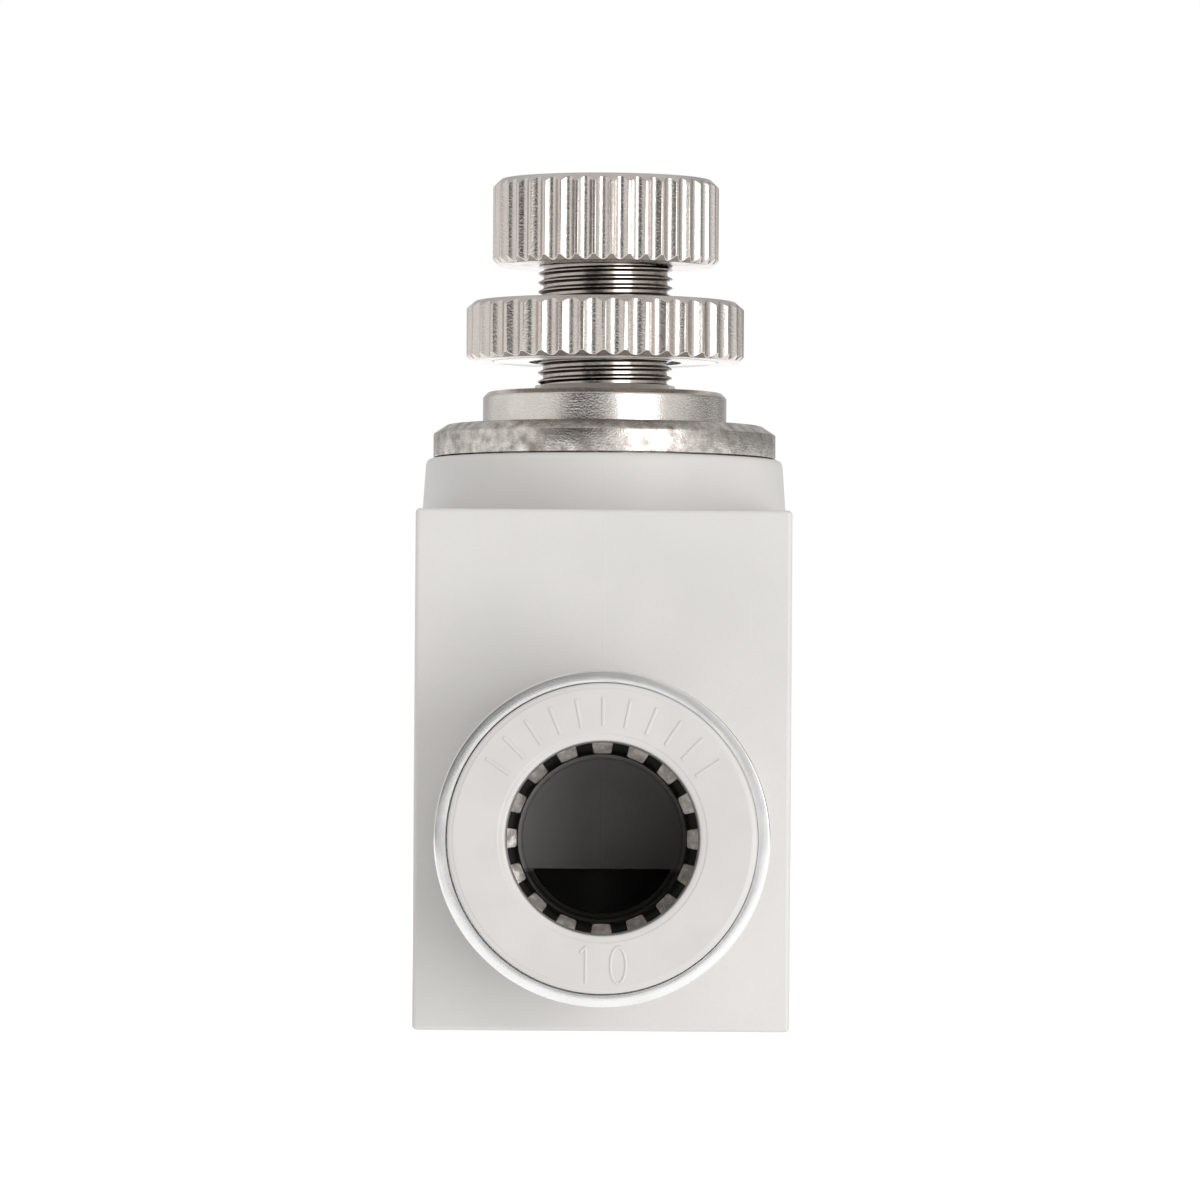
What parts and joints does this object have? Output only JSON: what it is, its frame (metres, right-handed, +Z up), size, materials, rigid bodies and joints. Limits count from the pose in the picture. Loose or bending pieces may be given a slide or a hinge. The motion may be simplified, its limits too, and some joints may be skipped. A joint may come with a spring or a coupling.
{
  "type": "flow control valve",
  "caption": "Inline pneumatic flow control valve: plastic block body, a push-in tube socket at each end, a screwed needle with knurled knob and lock nut on top.",
  "frame": {"origin": "centre of the body's flat underside, below the needle's axis", "axes": "+Z up the needle's axis towards the knob; +Y along the two tube sockets, from the front one to the rear one; +X across the body"},
  "size_m": [0.0202, 0.0572, 0.0468],
  "materials": {
    "body_plastic": "warm light grey moulded plastic, satin",
    "release_plastic": "pale grey moulded plastic, slight gloss",
    "black_plastic": "black moulded plastic",
    "washer_plastic": "natural nylon",
    "plated_brass": "turned brass with a nickel plating",
    "polished_collar": "polished brass with a bright plating",
    "spring_steel": "stamped stainless spring steel",
    "seal_rubber": "black nitrile rubber"
  },
  "bodies": {
    "root": {"valve_body": "body_plastic", "retaining_flange": "plated_brass", "cartridge": "plated_brass", "cartridge_seal_upper": "seal_rubber", "cartridge_seal_lower": "seal_rubber", "seat_cage": "black_plastic", "check_seal": "seal_rubber", "collar_front": "polished_collar", "grab_ring_front": "spring_steel", "support_ring_front": "black_plastic", "tube_seal_front": "seal_rubber", "collar_rear": "polished_collar", "grab_ring_rear": "spring_steel", "support_ring_rear": "black_plastic", "tube_seal_rear": "seal_rubber"},
    "stem_seal": {"stem_seal": "seal_rubber"},
    "adjusting_screw": {"needle_stem": "plated_brass", "knob": "plated_brass"},
    "nut_washer": {"nut_washer": "washer_plastic"},
    "lock_nut": {"lock_nut": "plated_brass"},
    "release_front": {"release_ring_front": "release_plastic"},
    "release_rear": {"release_ring_rear": "release_plastic"}
  },
  "joints": [
    {"name": "needle_travel", "type": "slide", "parent": "root", "child": "stem_seal", "axis": [0, 0, 1], "range_m": [-0.0015, 0.003]},
    {"name": "knob_turn", "type": "hinge", "parent": "stem_seal", "child": "adjusting_screw", "pos_m": [0, 0, 0.0444], "axis": [0, 0, 1], "range_deg": [-1080, 2160]},
    {"name": "nut_travel", "type": "slide", "parent": "root", "child": "nut_washer", "axis": [0, 0, 1], "range_m": [-0.00165, 0.0004]},
    {"name": "nut_turn", "type": "hinge", "parent": "nut_washer", "child": "lock_nut", "pos_m": [0, 0, 0.0383], "axis": [0, 0, 1], "range_deg": [-1188, 288]},
    {"name": "release_front_press", "type": "slide", "parent": "root", "child": "release_front", "axis": [0, 1, 0], "range_m": [0, 0.00145], "stiffness_N_per_m": 1500},
    {"name": "release_rear_press", "type": "slide", "parent": "root", "child": "release_rear", "axis": [0, -1, 0], "range_m": [0, 0.00145], "stiffness_N_per_m": 1500}
  ],
  "couplings": [
    {"joint": "knob_turn", "follows": "needle_travel", "rad_per_m": 12566},
    {"joint": "nut_turn", "follows": "nut_travel", "rad_per_m": 12566}
  ]
}
